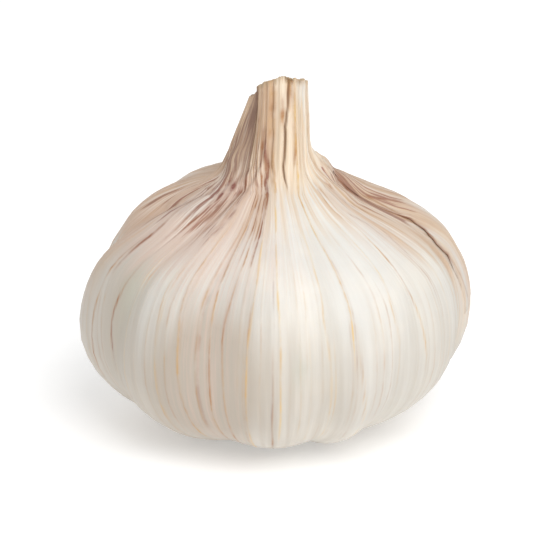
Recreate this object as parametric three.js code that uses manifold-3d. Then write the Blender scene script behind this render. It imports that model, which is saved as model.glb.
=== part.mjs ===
// A garlic bulb, cut from its plant and dried, standing on its root plate.
//
// Millimetres, +Z up. The origin is the middle of the root plate's flat underside, on the surface that the bulb
// stands on. The front of the bulb faces -Y. Azimuths are in degrees from the front, positive towards +X.
//
// The head is one body: its cloves under the dry skin that they share, which draws together upwards as the neck.
// Two sheets of outer skin have come away from it: the left sheath, round the left and the back of the neck, and
// the right collar, over the right shoulder. The root plate closes the hollow under the cloves.
import * as THREE from "three";
import { mergeVertices } from "three/addons/utils/BufferGeometryUtils.js";
import Module from "manifold-3d";

const wasm = await Module();
wasm.setup();

// Driving sizes.
const BODY_RADIUS = 29.2;
const EQUATOR_HEIGHT = 17.5;
const SHOULDER_RADIUS = 8.9;
const SHOULDER_HEIGHT = 39.7;
const NECK_RADIUS = 3.7;
const NECK_HEIGHT = 55.1;
const NECK_LEAN = 1.1;
const FOOT_RADIUS = 8;
const FOOT_HEIGHT = 0.5;
const HOLLOW_HEIGHT = 3;
const PLATE_RADIUS = 5.4;
const SHEET_THICKNESS = 0.65;
const GAP = 0.34;

// Columns of the head's mesh, all the way round.
const COLUMNS = 90;

// Angles, blends and waves.
const { cos, sin, exp, min, max, PI } = Math;
const radians = (degrees) => (degrees * PI) / 180;
const mix = THREE.MathUtils.lerp;
const ramp = (from, to, x) => THREE.MathUtils.smoothstep((x - from) / (to - from), 0, 1);
const wave = (azimuth, count, phase) => cos(radians(count * azimuth + phase));
const bell = (x, middle, width) => exp(-(((x - middle) / width) ** 2));
const turnFrom = (start, azimuth) => (((azimuth - start) % 360) + 360) % 360;

// ---------------------------------------------------------------------------------------------------------------
// The head's outline, as radius and height: up out of the hollow over the root plate, under the cloves, round the
// equator, over the shoulder and up the neck. A place on it is a distance s that grows by one for each stretch.
const at = (radius, height) => new THREE.Vector2(radius, height);

const CREST = at(0, HOLLOW_HEIGHT);
const FOOT = at(FOOT_RADIUS, FOOT_HEIGHT);
const EQUATOR = at(BODY_RADIUS, EQUATOR_HEIGHT);
const SHOULDER = at(SHOULDER_RADIUS, SHOULDER_HEIGHT);
const NECK_BASE = at(NECK_RADIUS + 0.4, SHOULDER_HEIGHT + 7.8);
const NECK_END = at(NECK_RADIUS, NECK_HEIGHT);

const bend = (...points) => new THREE.CubicBezierCurve(...points);
const STRETCHES = [
  { rows: 3, curve: bend(CREST, at(6, HOLLOW_HEIGHT + 0.3), at(7.4, FOOT_HEIGHT), FOOT) },
  { rows: 10, curve: bend(FOOT, at(13.5, 0.8), at(BODY_RADIUS, 4.2), EQUATOR) },
  { rows: 13, curve: bend(EQUATOR, at(BODY_RADIUS, 29.6), at(21.3, 35.1), SHOULDER) },
  { rows: 8, curve: bend(SHOULDER, at(5.6, 40.9), at(4.6, 43.6), NECK_BASE) },
  { rows: 4, curve: bend(NECK_BASE, at(3.9, 50), at(3.7, 52), NECK_END) },
];
const EQUATOR_AT = 2;
const SHOULDER_AT = 3;
const NECK_AT = 4;
const CUT_AT = STRETCHES.length;

const outlineAt = (s) => {
  const index = min(Math.floor(s), CUT_AT - 1);
  const { curve } = STRETCHES[index];
  const place = curve.getPoint(s - index);
  const along = curve.getTangent(min(max(s - index, 0.001), 0.999));
  return { radius: place.x, height: place.y, outRadius: along.y, outHeight: -along.x };
};

// ---------------------------------------------------------------------------------------------------------------
// The cloves round the head. Each begins at a furrow, given by its azimuth at the equator, its depth, and how far
// it turns, in degrees, from the equator to the shoulder. bulge is how far the clove stands out from the outline.
const CLOVES = [
  { furrow: -109, depth: 1.4, turn: 38, bulge: 1.3 },
  { furrow: -58, depth: 0.6, turn: 20, bulge: 0.6 },
  { furrow: -21, depth: 0.4, turn: 3, bulge: 0.5 },
  { furrow: 18, depth: 0.5, turn: 0, bulge: 0.5 },
  { furrow: 43, depth: 0.5, turn: 20, bulge: -0.3 },
  { furrow: 84, depth: 1.1, turn: 0, bulge: 0.9 },
  { furrow: 118, depth: 1.7, turn: 14, bulge: -0.4 },
  { furrow: 164, depth: 1, turn: 0, bulge: 0.5 },
  { furrow: 194, depth: 1.1, turn: 10, bulge: 1 },
  { furrow: 222, depth: 1, turn: 20, bulge: 0.2 },
];
const DOME_POWER = 1.3;

const furrowAzimuth = ({ furrow, turn }, s) => furrow + turn * (min(max(s, 1.7), SHOULDER_AT) - EQUATOR_AT);

const cloveRelief = (azimuth, s) => {
  for (const [index, clove] of CLOVES.entries()) {
    const next = CLOVES[(index + 1) % CLOVES.length];
    const start = furrowAzimuth(clove, s);
    const width = turnFrom(start, furrowAzimuth(next, s));
    const across = turnFrom(start, azimuth) / width;
    if (across < 1) {
      const dome = sin(PI * across) ** DOME_POWER;
      return mix(-mix(clove.depth, next.depth, ramp(0, 1, across)), clove.bulge, dome);
    }
  }
  return 0;
};

// The cloves show most round the equator, less on the shoulder and not at all on the neck.
const cloveStrength = (s) => ramp(0.8, 1.5, s) * (1 - 0.45 * ramp(2, 2.8, s)) * (1 - ramp(2.6, 3.7, s));

// Pleats that the drying skin has drawn into on the upper shoulder and the neck.
const PLEAT_DEPTH = 0.24;
const pleatRelief = (azimuth, s) =>
  PLEAT_DEPTH * ramp(2.65, 3.5, s) *
  (0.5 * wave(azimuth, 11, 40) + 0.35 * wave(azimuth, 17, 170) + 0.3 * wave(azimuth, 24, 85));

// The outermost layer of the neck is wrapped round it, and its free edge runs up the front.
const WRAP_DEPTH = 0.35;
const wrapEdge = (s) => 8 + 3 * ramp(3.5, 3, s) + 9 * ramp(4, 5, s);
const wrapRelief = (azimuth, s) => WRAP_DEPTH * ramp(3, 3.7, s) * (turnFrom(wrapEdge(s), azimuth) / 360 - 0.5);

// Beside the neck the right shoulder is low, where the skin has sunk behind two cloves, and the left one is full,
// with a notch below it.
const shoulderRelief = (azimuth, s) =>
  0.75 * bell(turnFrom(58, azimuth), 180, 30) * bell(s, 2.74, 0.2) -
  0.4 * bell(turnFrom(76, azimuth), 180, 14) * bell(s, 2.38, 0.12) -
  0.8 * bell(turnFrom(-75, azimuth), 180, 42) * bell(s, 2.95, 0.28);

// The neck was cut at a slant, highest at the front and low on the left, and its end is a little ragged.
const cutHeight = (azimuth) =>
  NECK_HEIGHT + 1.75 * wave(azimuth, 1, -8) - 0.6 * bell(turnFrom(98, azimuth), 180, 30) +
  0.35 * bell(turnFrom(-178, azimuth), 180, 14) - 0.4 * bell(turnFrom(-136, azimuth), 180, 24) +
  0.1 * wave(azimuth, 9, 30) + 0.07 * wave(azimuth, 23, 0);

// A point of the skin, or lift outside it.
const skinPoint = (azimuth, s, lift = 0) => {
  const { radius, height, outRadius, outHeight } = outlineAt(s);
  const relief = cloveStrength(s) * cloveRelief(azimuth, s) + pleatRelief(azimuth, s) +
    wrapRelief(azimuth, s) + shoulderRelief(azimuth, s);
  const reach = max(radius + outRadius * (relief + lift), 0);
  const cut = (cutHeight(azimuth) - NECK_HEIGHT) * max(s - NECK_AT, 0);
  return new THREE.Vector3(
    reach * sin(radians(azimuth)) + NECK_LEAN * ramp(SHOULDER_AT - 0.6, NECK_AT, s),
    -reach * cos(radians(azimuth)),
    height + outHeight * (relief + lift) + cut,
  );
};

// ---------------------------------------------------------------------------------------------------------------
// Closed meshes. Quads are given corner by corner, anticlockwise as seen from outside.
const triangleSoup = () => {
  const positions = [];
  const triangle = (...corners) => corners.forEach(({ x, y, z }) => positions.push(x, y, z));
  const quad = (a, b, c, d) => {
    triangle(a, b, c);
    triangle(a, c, d);
  };
  const geometry = () => {
    const result = new THREE.BufferGeometry();
    result.setAttribute("position", new THREE.Float32BufferAttribute(positions, 3));
    return result;
  };
  return { triangle, quad, geometry };
};

// The head: rings of the skin, the layers that show in the cut end of the neck, and a point closing each end.
// Each ring of the cut end has a radius and a depth below the cut.
const CUT_RINGS = [
  { radius: 3.45, depth: -0.1 },
  { radius: 3, depth: 0 },
  { radius: 2.8, depth: 3.2 },
  { radius: 2.4, depth: 3.2 },
  { radius: 2.2, depth: 0.7 },
  { radius: 1.75, depth: 0.8 },
  { radius: 1.6, depth: 2.8 },
  { radius: 1.15, depth: 2.8 },
  { radius: 0.95, depth: 1.3 },
];
const CORE_DEPTH = 1.1;

const cutPoint = (azimuth, { radius, depth }) => {
  const reach = radius + wrapRelief(azimuth, CUT_AT);
  return new THREE.Vector3(
    reach * sin(radians(azimuth)) + NECK_LEAN,
    -reach * cos(radians(azimuth)),
    mix(NECK_HEIGHT, cutHeight(azimuth), radius / NECK_RADIUS) - depth,
  );
};

const headGeometry = () => {
  const azimuths = Array.from({ length: COLUMNS }, (_, column) => (360 * column) / COLUMNS);
  const rings = [];
  STRETCHES.forEach(({ rows }, index) => {
    for (let row = index === 0 ? 1 : 0; row < rows; row += 1) {
      rings.push(azimuths.map((azimuth) => skinPoint(azimuth, index + row / rows)));
    }
  });
  rings.push(azimuths.map((azimuth) => skinPoint(azimuth, CUT_AT)));
  CUT_RINGS.forEach((ring) => rings.push(azimuths.map((azimuth) => cutPoint(azimuth, ring))));

  const soup = triangleSoup();
  const crest = new THREE.Vector3(0, 0, HOLLOW_HEIGHT);
  const core = new THREE.Vector3(NECK_LEAN, 0, NECK_HEIGHT - CORE_DEPTH);
  const last = rings.at(-1);
  for (let column = 0; column < COLUMNS; column += 1) {
    const next = (column + 1) % COLUMNS;
    soup.triangle(crest, rings[0][next], rings[0][column]);
    for (let ring = 0; ring + 1 < rings.length; ring += 1) {
      soup.quad(rings[ring][column], rings[ring][next], rings[ring + 1][next], rings[ring + 1][column]);
    }
    soup.triangle(last[column], last[next], core);
  }
  return soup.geometry();
};

// A sheet of skin that lies on the head. from and to give its side edges, and low and high its ends, for a place
// 0 to 1 along or across it; standoff is how far it has lifted off, and flare how far it has swung out and up.
const sheetGeometry = ({ columns, rows, from, to, low, high, standoff, flare = () => at(0, 0) }) => {
  const place = (column, row, lift) => {
    const across = column / columns;
    const along = row / rows;
    const azimuth = mix(from(along), to(along), across);
    const s = mix(low(azimuth, across), high(azimuth, across), along);
    const point = skinPoint(azimuth, s, GAP + standoff(azimuth, s) + lift);
    const { x: out, y: up } = flare(s, across);
    return point.add(new THREE.Vector3(out * sin(radians(azimuth)), -out * cos(radians(azimuth)), up));
  };
  const layer = (lift) =>
    Array.from({ length: columns + 1 }, (_, column) =>
      Array.from({ length: rows + 1 }, (_, row) => place(column, row, lift)));
  const inside = layer(0);
  const outside = layer(SHEET_THICKNESS);

  const soup = triangleSoup();
  for (let column = 0; column < columns; column += 1) {
    for (let row = 0; row < rows; row += 1) {
      soup.quad(outside[column][row], outside[column + 1][row],
        outside[column + 1][row + 1], outside[column][row + 1]);
      soup.quad(inside[column][row + 1], inside[column + 1][row + 1],
        inside[column + 1][row], inside[column][row]);
    }
    soup.quad(inside[column][0], inside[column + 1][0], outside[column + 1][0], outside[column][0]);
    soup.quad(outside[column][rows], outside[column + 1][rows], inside[column + 1][rows], inside[column][rows]);
  }
  for (let row = 0; row < rows; row += 1) {
    soup.quad(inside[0][row], outside[0][row], outside[0][row + 1], inside[0][row + 1]);
    soup.quad(outside[columns][row], inside[columns][row],
      inside[columns][row + 1], outside[columns][row + 1]);
  }
  return soup.geometry();
};

// The left sheath leaves the shoulder in a curve, flares up past the neck and ends below its cut, narrowing evenly.
// FLARE is the curve, as radius and height, and is followed from FLARE_START to FLARE_END along the outline.
const FLARE = bend(at(12.5, 38.3), at(10.3, 39.2), at(9.3, 40.9), at(8.7, 42.6));
const FLARE_START = 2.9;
const FLARE_END = 3.5;
const FLARE_SLOPE = 0.33;

// The sheet is thicker here than a real one, so that it stands out by only a share of the curve.
const flareShare = (s) => mix(0.75, 0.5, ramp(3.8, 4.8, s));

const flareOffset = (s) => {
  const { radius, height } = outlineAt(s);
  if (s <= FLARE_START) {
    return at(0, 0);
  }
  if (s < FLARE_END) {
    return FLARE.getPoint((s - FLARE_START) / (FLARE_END - FLARE_START)).sub(at(radius, height));
  }
  return at(FLARE.v3.x - FLARE_SLOPE * (height - FLARE.v3.y) - radius, 0);
};

// The left sheath runs out over the shoulder in short strips. Its front edge lies against the neck, and comes
// forward as it leaves it; its back edge lies against the neck too.
const leftSheathGeometry = () => sheetGeometry({
  columns: 33,
  rows: 14,
  from: () => -162,
  to: (along) => mix(-36, -80, ramp(0, 0.55, along)),
  low: (azimuth) => 2.87 + 0.05 * wave(azimuth, 6, 20) + 0.04 * wave(azimuth, 13, 120) + 0.02 * wave(azimuth, 22, 0),
  high: (azimuth, across) => 4.82 - 0.9 * (1 - ramp(0, 0.3, across)) - 0.05 * wave(azimuth, 15, 60),
  standoff: () => 0,
  flare: (s, across) =>
    flareOffset(s).multiplyScalar(flareShare(s) * ramp(0, 0.3, across) * mix(0.05, 1, ramp(1, 0.82, across))),
});

// The right collar lies close on the shoulder from the crack at its front edge to the back, with a torn lower
// edge, and its upper edge curls away from the neck.
const rightCollarGeometry = () => sheetGeometry({
  columns: 34,
  rows: 11,
  from: (along) => 90 - 15 * ramp(0.25, 0.5, along) - 7 * ramp(0.6, 1, along),
  to: () => 196,
  low: (azimuth) => 2.28 - 0.2 * wave(azimuth, 2, 190) + 0.07 * wave(azimuth, 9, 20) + 0.04 * wave(azimuth, 20, 0),
  high: (azimuth) => 3.6 + 0.06 * wave(azimuth, 10, 40),
  standoff: (azimuth, s) => 0.35 * ramp(3.1, 3.6, s),
});

// ---------------------------------------------------------------------------------------------------------------
// The root plate: a low woody disc, flat below, with the stubs of the cut roots splayed out round its rim.
const solidOf = (geometry) => {
  geometry.deleteAttribute("normal");
  geometry.deleteAttribute("uv");
  const merged = mergeVertices(geometry, 1e-4);
  return new wasm.Manifold(new wasm.Mesh({
    numProp: 3,
    vertProperties: new Float32Array(merged.attributes.position.array),
    triVerts: new Uint32Array(merged.index.array),
  }));
};

const geometryOf = (solid) => {
  const { vertProperties, triVerts } = solid.getMesh();
  const geometry = new THREE.BufferGeometry();
  geometry.setAttribute("position", new THREE.BufferAttribute(vertProperties, 3));
  geometry.setIndex(new THREE.BufferAttribute(triVerts, 1));
  return geometry;
};

const plateGeometry = () => {
  const profile = [at(0, 0), at(PLATE_RADIUS, 0), at(PLATE_RADIUS + 0.15, 0.4), at(PLATE_RADIUS - 0.4, 1.2),
    at(PLATE_RADIUS - 1.7, 2.2), at(0, 2.5)];
  const plate = new THREE.LatheGeometry(profile, 28);
  return plate.rotateX(PI / 2);
};

const ROOT_COUNT = 34;
const ROOT_LENGTH = 2.6;
const ROOT_RADIUS = 0.4;
const ROOT_HEIGHT = 0.66;

// A root stub lies almost level, its inner end deep in the plate. The turn between neighbours is even, with a
// small wander that the sines below repeat each time.
const rootGeometry = (index) => {
  const wander = sin(index * 12.9);
  const azimuth = (360 * index) / ROOT_COUNT + 2.5 * wander;
  const length = ROOT_LENGTH * (1 + 0.16 * sin(index * 7.3));
  const root = new THREE.CylinderGeometry(ROOT_RADIUS * 0.7, ROOT_RADIUS, length, 5);
  root.rotateX(PI / 2);
  const outwards = new THREE.Vector3(sin(radians(azimuth)), -cos(radians(azimuth)), -0.06 + 0.05 * wander);
  const turn = new THREE.Quaternion().setFromUnitVectors(new THREE.Vector3(0, 0, 1), outwards.clone().normalize());
  root.applyQuaternion(turn);
  const middle = PLATE_RADIUS - 0.5;
  root.translate(outwards.x * middle, outwards.y * middle, ROOT_HEIGHT + 0.08 * wander);
  return root;
};

const rootPlateGeometry = () => {
  let solid = solidOf(plateGeometry());
  for (let index = 0; index < ROOT_COUNT; index += 1) {
    solid = solid.add(solidOf(rootGeometry(index)));
  }
  return geometryOf(solid);
};

// ---------------------------------------------------------------------------------------------------------------
const part = new THREE.Group();

const addPiece = (name, geometry, color, roughness) => {
  const piece = new THREE.Mesh(geometry, new THREE.MeshStandardMaterial({ color, roughness, metalness: 0 }));
  piece.name = name;
  part.add(piece);
};

addPiece("head", headGeometry(), 0xe9e2d6, 0.55);
addPiece("left_sheath", leftSheathGeometry(), 0xb59c82, 0.7);
addPiece("right_collar", rightCollarGeometry(), 0xd3b294, 0.6);
addPiece("root_plate", rootPlateGeometry(), 0xa98a62, 0.85);

export default part;
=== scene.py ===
"""A dried garlic bulb, standing on its root plate.

Lengths are in millimetres until finish_piece turns them into metres. +Z is up and the front of
the bulb faces -Y. Azimuths are in degrees from the front, positive towards +X.
"""
import math
import random

import bmesh
import bpy
import numpy as np
from mathutils import Matrix, Vector, noise


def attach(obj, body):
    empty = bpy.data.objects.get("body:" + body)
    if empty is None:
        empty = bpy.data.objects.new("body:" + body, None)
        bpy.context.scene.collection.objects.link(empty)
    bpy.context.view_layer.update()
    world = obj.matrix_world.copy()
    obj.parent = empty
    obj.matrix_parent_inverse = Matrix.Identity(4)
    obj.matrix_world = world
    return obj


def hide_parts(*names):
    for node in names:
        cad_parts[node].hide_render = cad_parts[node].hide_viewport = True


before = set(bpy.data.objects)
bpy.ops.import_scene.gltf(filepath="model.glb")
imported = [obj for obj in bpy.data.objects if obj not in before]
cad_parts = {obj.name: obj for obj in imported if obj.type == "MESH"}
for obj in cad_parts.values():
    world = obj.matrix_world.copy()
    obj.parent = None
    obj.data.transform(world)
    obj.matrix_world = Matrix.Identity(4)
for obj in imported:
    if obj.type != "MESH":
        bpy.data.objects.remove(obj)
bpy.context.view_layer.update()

# ------------------------------------------------------------------------------
# The root plate: the woody disc that the cloves grew from, trimmed flat below, with the stubs of
# the cut roots round its rim. It is corky and brown, with soil in its pores, and it closes the
# hollow under the cloves.
MM = 0.001
PLATE_RADIUS = 5.4
PLATE_PROFILE = [
    (0, 0), (2, 0), (4, 0), (PLATE_RADIUS - 0.2, 0), (PLATE_RADIUS, 0.12),
    (PLATE_RADIUS + 0.15, 0.5), (PLATE_RADIUS - 0.3, 1.2), (PLATE_RADIUS - 1, 1.7),
    (PLATE_RADIUS - 2.2, 2.2), (0, 2.4),
]
PLATE_STEPS = 96
PLATE_WEAR = 0.12
ROOT_COUNT = 96
ROOT_SIDES = 6
ROOT_JOINTS = 3
ROOT_LENGTHS = (1.2, 1.9)
ROOT_RADII = (0.13, 0.24)
ROOT_TAPER = 0.86
ROOT_BENDS = (0.25, 0.25, 0.12)
ROOT_SEED = 31

# The roots stand in tiers round the rim: how far the lowest tier is sunk into it and how high it
# is, and how much each further tier is set in, raised and shortened.
TIERS = 3
TIER_SINK = 0.7
TIER_HEIGHT = 0.42
TIER_INSET = 0.25
TIER_RISE = 0.24
TIER_SHORTER = 0.1
WELD = 0.001

CORK_BROWN = (0.36, 0.23, 0.125, 1)
CORK_PALE = (0.66, 0.52, 0.36, 1)
SOIL_DARK = (0.13, 0.085, 0.05, 1)


def add_node(tree, kind, inputs=None, **settings):
    """Adds a shader node. An input is a socket to link from, or a plain value."""
    made = tree.nodes.new(kind)
    for setting, value in settings.items():
        setattr(made, setting, value)
    for socket, value in (inputs or {}).items():
        if isinstance(value, bpy.types.NodeSocket):
            tree.links.new(value, made.inputs[socket])
        else:
            made.inputs[socket].default_value = value
    return made


def mix_colour(tree, factor, first, second):
    """The colour between two others. A Mix node has sockets for every kind of data, and these are
    the numbers of its factor and its colours."""
    inputs = {0: factor, 6: first, 7: second}
    return add_node(tree, "ShaderNodeMix", inputs, data_type="RGBA").outputs[2]


def calculate(tree, operation, *values, clamp=False):
    """One step of arithmetic."""
    inputs = dict(enumerate(values))
    return add_node(tree, "ShaderNodeMath", inputs, operation=operation, use_clamp=clamp).outputs[0]


def stretch(tree, value, low, high, to_low=0.0, to_high=1.0):
    """A value's range moved to another, smoothly and clamped."""
    inputs = {
        "Value": value, "From Min": low, "From Max": high, "To Min": to_low, "To Max": to_high}
    return add_node(
        tree, "ShaderNodeMapRange", inputs, interpolation_type="SMOOTHSTEP").outputs[0]


def mottling(tree, scale, detail):
    """A noise from 0 to 1 that is fixed to the piece."""
    place = add_node(tree, "ShaderNodeTexCoord").outputs["Object"]
    inputs = {"Vector": place, "Scale": scale, "Detail": detail}
    return add_node(tree, "ShaderNodeTexNoise", inputs).outputs["Fac"]


def new_material(name, **settings):
    """A new material with its Principled shader, whose plain values are given by socket name."""
    material = bpy.data.materials.new(name)
    material.use_nodes = True
    shader = material.node_tree.nodes["Principled BSDF"]
    for socket, value in settings.items():
        shader.inputs[socket.replace("_", " ")].default_value = value
    return material, material.node_tree, shader


def finish_piece(name, shape, material, replaced):
    """Turns a bmesh in millimetres into a finished piece that rides on the bulb."""
    bmesh.ops.scale(shape, vec=Vector((MM, MM, MM)), verts=shape.verts)
    mesh = bpy.data.meshes.new(name)
    shape.to_mesh(mesh)
    shape.free()
    mesh.polygons.foreach_set("use_smooth", [True] * len(mesh.polygons))
    mesh.materials.append(material)
    piece = bpy.data.objects.new(name, mesh)
    bpy.context.collection.objects.link(piece)
    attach(piece, "root")
    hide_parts(replaced)


def root_material():
    """Dry cork with soil rubbed into its low places."""
    material, tree, shader = new_material("dry root", Roughness=0.9, Specular_IOR_Level=0.25)
    grain = mottling(tree, 900, 5)
    soil = mottling(tree, 420, 3)
    cork = mix_colour(tree, stretch(tree, grain, 0.35, 0.68), CORK_BROWN, CORK_PALE)
    colour = mix_colour(tree, stretch(tree, soil, 0.55, 0.75, 0, 0.75), cork, SOIL_DARK)
    relief = {"Height": grain, "Strength": 0.6, "Distance": 0.3 * MM}
    bump = add_node(tree, "ShaderNodeBump", relief)
    tree.links.new(colour, shader.inputs["Base Color"])
    tree.links.new(bump.outputs[0], shader.inputs["Normal"])
    return material


def grow_root(shape, base, heading, length, radius, chance):
    """A cut root: a short stub that narrows and bends a little at each joint."""
    turn = heading.to_track_quat("Z", "Y").to_matrix().to_4x4()
    ring = bmesh.ops.create_circle(
        shape, cap_ends=True, segments=ROOT_SIDES, radius=radius,
        matrix=Matrix.Translation(base) @ turn)
    face = ring["verts"][0].link_faces[0]
    for _ in range(ROOT_JOINTS):
        grown = bmesh.ops.extrude_face_region(shape, geom=[face])["geom"]
        corners = [item for item in grown if isinstance(item, bmesh.types.BMVert)]
        face = next(item for item in grown if isinstance(item, bmesh.types.BMFace))
        bend = Vector([chance.uniform(-limit, limit) for limit in ROOT_BENDS])
        step = (heading + bend) * (length / ROOT_JOINTS)
        bmesh.ops.translate(shape, vec=step, verts=corners)
        bmesh.ops.scale(
            shape, vec=Vector((ROOT_TAPER, ROOT_TAPER, ROOT_TAPER)),
            space=Matrix.Translation(-face.calc_center_median()), verts=corners)


def root_plate_shape():
    """The plate, spun from its profile and worn uneven, with its ring of root stubs."""
    shape = bmesh.new()
    corners = [shape.verts.new((radius, 0, height)) for radius, height in PLATE_PROFILE]
    edges = [shape.edges.new(pair) for pair in zip(corners, corners[1:])]
    bmesh.ops.spin(shape, geom=corners + edges, cent=(0, 0, 0), axis=(0, 0, 1), angle=math.tau,
                   steps=PLATE_STEPS, use_merge=True)
    bmesh.ops.remove_doubles(shape, verts=shape.verts, dist=WELD)
    bmesh.ops.recalc_face_normals(shape, faces=shape.faces)
    for vert in shape.verts:
        wear = noise.noise(vert.co * 1.7) + 0.5 * noise.noise(vert.co * 4)
        vert.co += vert.normal * PLATE_WEAR * wear
    chance = random.Random(ROOT_SEED)
    for index in range(ROOT_COUNT):
        azimuth = math.tau * (index + chance.uniform(-0.35, 0.35)) / ROOT_COUNT
        tier = index % TIERS
        outwards = Vector((math.sin(azimuth), -math.cos(azimuth), chance.uniform(-0.12, 0.05)))
        base = outwards * (PLATE_RADIUS - TIER_SINK - TIER_INSET * tier)
        base.z += TIER_HEIGHT + TIER_RISE * tier
        length = chance.uniform(*ROOT_LENGTHS) - TIER_SHORTER * tier
        grow_root(shape, base, outwards, length, chance.uniform(*ROOT_RADII), chance)
    for vert in shape.verts:
        vert.co.z = max(vert.co.z, 0)
    return shape


finish_piece("root_disc", root_plate_shape(), root_material(),
             replaced="root_plate")

# ------------------------------------------------------------------------------
# The head: cloves under the dry skin that they share, grown as one piece with the neck. The skin is
# thin and satin, white over the cloves and straw-coloured up the neck, with veins that run from the
# roots to the cut.
BODY_RADIUS = 29.2
EQUATOR_HEIGHT = 17.5
SHOULDER_RADIUS = 8.9
SHOULDER_HEIGHT = 39.7
NECK_RADIUS = 3.7
NECK_HEIGHT = 55.1
NECK_LEAN = 1.1
FOOT_RADIUS = 8
FOOT_HEIGHT = 0.5
HOLLOW_HEIGHT = 3

# The outline in stretches, each a curve from its first (radius, height) point to its last, drawn
# towards the two between. A place along the outline is a distance s that grows by one for each
# stretch.
HOLLOW = (0, HOLLOW_HEIGHT)
FOOT = (FOOT_RADIUS, FOOT_HEIGHT)
EQUATOR = (BODY_RADIUS, EQUATOR_HEIGHT)
SHOULDER = (SHOULDER_RADIUS, SHOULDER_HEIGHT)
NECK_FOOT = (NECK_RADIUS + 0.4, SHOULDER_HEIGHT + 7.8)
STRETCHES = np.array([
    [HOLLOW, (6, HOLLOW_HEIGHT + 0.3), (7.4, FOOT_HEIGHT), FOOT],
    [FOOT, (13.5, 0.8), (BODY_RADIUS, 4.2), EQUATOR],
    [EQUATOR, (BODY_RADIUS, 29.6), (21.3, 35.1), SHOULDER],
    [SHOULDER, (5.6, 40.9), (4.6, 43.6), NECK_FOOT],
    [NECK_FOOT, (3.9, 50), (3.7, 52), (NECK_RADIUS, NECK_HEIGHT)],
], float)

# The distances at which the equator, the shoulder, the neck and the cut lie.
EQUATOR_AT = 2
SHOULDER_AT = 3
NECK_AT = 4
CUT_AT = len(STRETCHES)

# Each clove: the azimuth of the furrow where it begins, the furrow's depth, how far the furrow
# turns from the equator to the shoulder, and how far the clove bulges.
CLOVES = [
    (-109, 1.4, 38, 1.3),
    (-58, 0.6, 20, 0.6),
    (-21, 0.4, 3, 0.5),
    (18, 0.5, 0, 0.5),
    (43, 0.5, 20, -0.3),
    (84, 1.1, 0, 0.9),
    (118, 1.7, 14, -0.4),
    (164, 1.0, 0, 0.5),
    (194, 1.1, 10, 1.0),
    (222, 1.0, 20, 0.2),
]
DOME_POWER = 1.3

# Pleats round the shoulder and the neck: their height, how many, and where they begin. Ribs of the
# skin, from broad to fine: how many, a seed, and their height over the cloves and on the neck.
PLEATS = [(0.12, 11, 40), (0.084, 17, 170), (0.072, 24, 85)]
RIB_SIZES = [(62, 5, 0.022, 0.07), (150, 6, 0.006, 0.05), (340, 7, 0.003, 0.02)]
WRAP_DEPTH = 0.35

# The slanted cut: how far its highest side stands above its middle, that side's azimuth, and the
# places that are nicked or stand up, each with its height, azimuth and width.
CUT_SLANT = 1.75
CUT_SIDE = 8
CUT_PLACES = [(-0.6, -82, 30), (0.35, 2, 14), (-0.4, 44, 24)]

# A local change of the skin is given as its amount, the azimuth or fibre that it is centred on, its
# width in degrees, and its span along the outline: a hump's middle and width, or the distances where
# a band starts, is full, fades and is gone. WHOLE covers everything, and TO_CUT ends a band that
# runs up to the cut.
WHOLE = (-2, -1, 6, 7)
TO_CUT = (6, 7)

# How far the shoulder stands out or is sunk in places, by azimuth. On the left it is full, with a
# notch below. On the right it slopes up to the neck behind, is low in front of that, and is full
# above the equator.
SHOULDER_FORMS = [
    (0.75, -122, 30, (2.74, 0.2)),
    (-0.6, -106, 16, (2.38, 0.13)),
    (-0.2, -88, 12, (2.12, 0.16)),
    (1.2, 114, 34, (3.26, 0.27)),
    (0.6, 104, 24, (3.52, 0.16)),
    (-0.74, 104, 42, (2.83, 0.22)),
    (0.75, 101, 16, (2.11, 0.25)),
]


def ramp(value, start, end):
    """A smooth step from 0 at start to 1 at end."""
    share = np.clip((value - start) / (end - start), 0, 1)
    return share * share * (3 - 2 * share)


def band(value, start, full, fading, gone):
    """A smooth step up to 1 and down again."""
    return ramp(value, start, full) * ramp(value, gone, fading)


def wave(azimuth, count, phase):
    """A cosine with count crests round the bulb."""
    return np.cos(np.radians(count * azimuth + phase))


def bell(value, middle, width):
    """A hump of height one."""
    return np.exp(-(((value - middle) / width) ** 2))


def turn_between(azimuth, other):
    """The turn from another azimuth to this one, from -180 to 180."""
    return (azimuth - other + 180) % 360 - 180


def patch(azimuth, middle, width):
    """A hump of height one round an azimuth or a fibre."""
    return bell(turn_between(azimuth, middle), 0, width)


def local_changes(places, turn, s):
    """The sum of local changes, where turn is the azimuth or the fibre that they are centred on."""
    total = np.zeros_like(turn)
    for amount, middle, width, span in places:
        along = bell(s, *span) if len(span) == 2 else band(s, *span)
        total += amount * patch(turn, middle, width) * along
    return total


def curve(points, t):
    """A smooth curve from the first of four points to the last, drawn towards the two between."""
    a, b, c, d = points
    return (1 - t) ** 3 * a + 3 * (1 - t) ** 2 * t * b + 3 * (1 - t) * t ** 2 * c + t ** 3 * d


def outline(s):
    """Radius and height of the outline, and the direction out of it."""
    index = np.clip(s.astype(int), 0, CUT_AT - 1)
    a, b, c, d = np.moveaxis(STRETCHES[index], -2, 0)
    t = (s - index)[..., None]
    place = curve((a, b, c, d), t)
    t = np.clip(t, 0.001, 0.999)
    along = (1 - t) ** 2 * (b - a) + 2 * (1 - t) * t * (c - b) + t ** 2 * (d - c)
    along /= np.linalg.norm(along, axis=-1, keepdims=True)
    return place[..., 0], place[..., 1], along[..., 1], -along[..., 0]


def furrow_azimuth(start, turn, s):
    """Where a furrow lies, as it turns on its way up."""
    return start + turn * (np.clip(s, 1.7, SHOULDER_AT) - EQUATOR_AT)


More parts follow.
